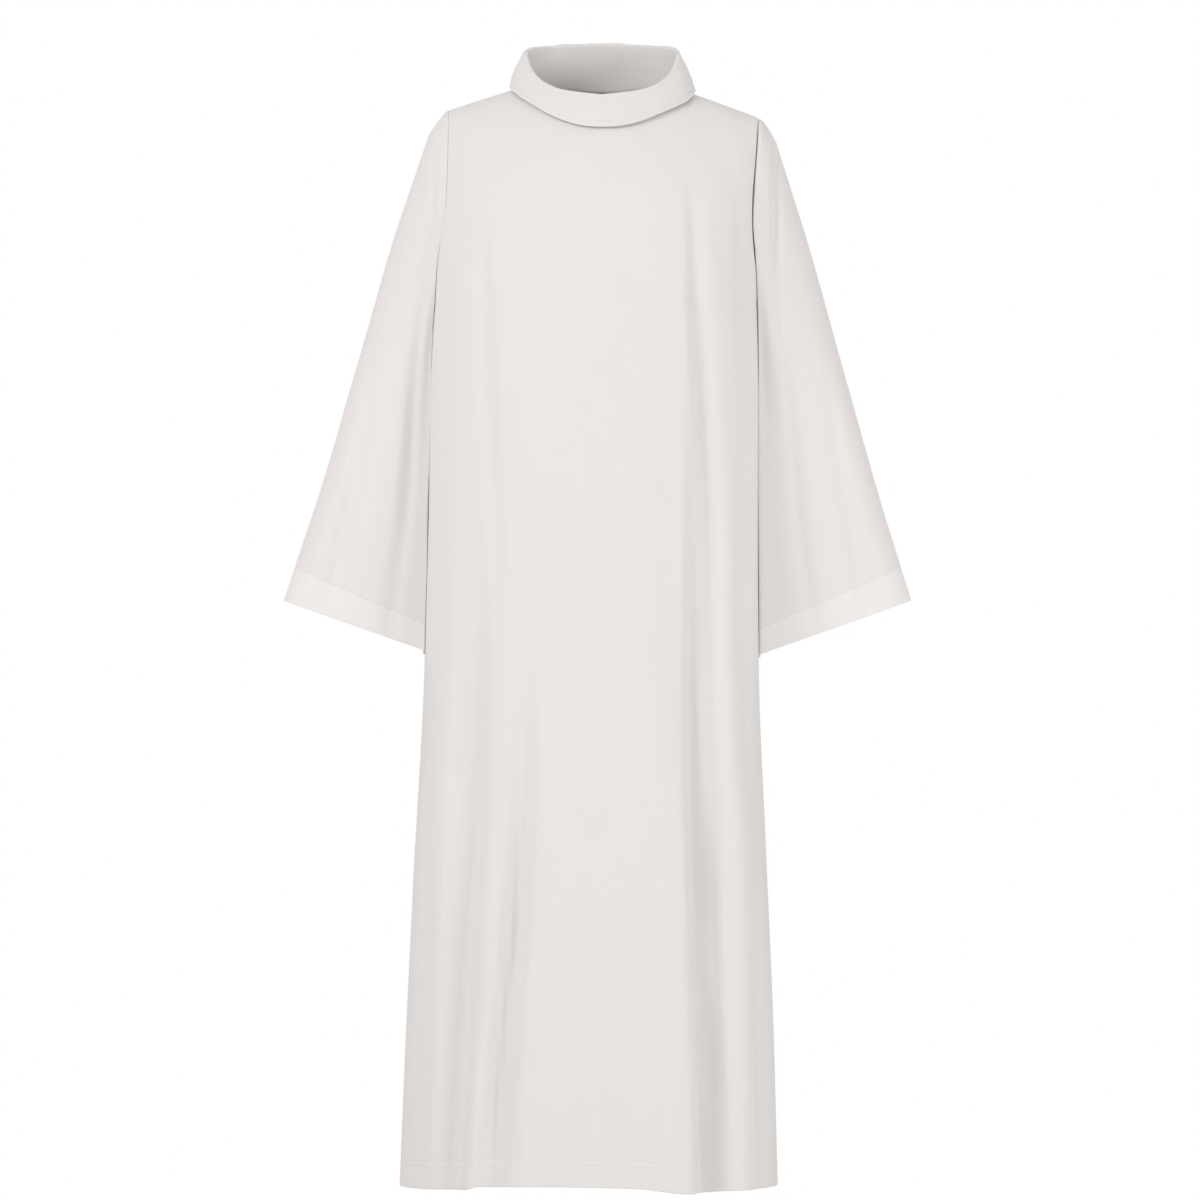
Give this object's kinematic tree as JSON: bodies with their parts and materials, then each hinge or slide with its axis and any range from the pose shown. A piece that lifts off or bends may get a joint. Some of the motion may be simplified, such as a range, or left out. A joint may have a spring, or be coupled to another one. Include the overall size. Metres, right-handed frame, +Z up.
{
  "type": "alb robe",
  "caption": "Long off-white liturgical robe in its worn hollow form, with wide set-in bell sleeves and a loose fold-over collar; it covers a wearer from neck to ankle.",
  "frame": {"origin": "between the shoulders, on the upright line through the neck opening, level with the sides of the neck edge, where a wearer's shoulders hold the robe", "axes": "+Z up, -Y the front of the robe, +X to the right of someone who faces the front (the wearer's left)"},
  "size_m": [0.828, 0.3812, 1.5091],
  "materials": {
    "body_cloth": "warm off-white plain-weave crepe, matt, with upright soft folds and a 34 mm turned-up hem",
    "sleeve_cloth": "the same warm off-white crepe, with a 38 mm turned-up cuff hem",
    "collar_cloth": "the same crepe, doubled and rolled over, edge-stitched on its fall"
  },
  "bodies": {
    "root": {"front_upper": "body_cloth", "front_middle": "body_cloth", "front_lower": "body_cloth", "back_upper": "body_cloth", "back_middle": "body_cloth", "back_lower": "body_cloth", "sleeve_left": "sleeve_cloth", "sleeve_right": "sleeve_cloth", "collar": "collar_cloth"}
  },
  "joints": []
}
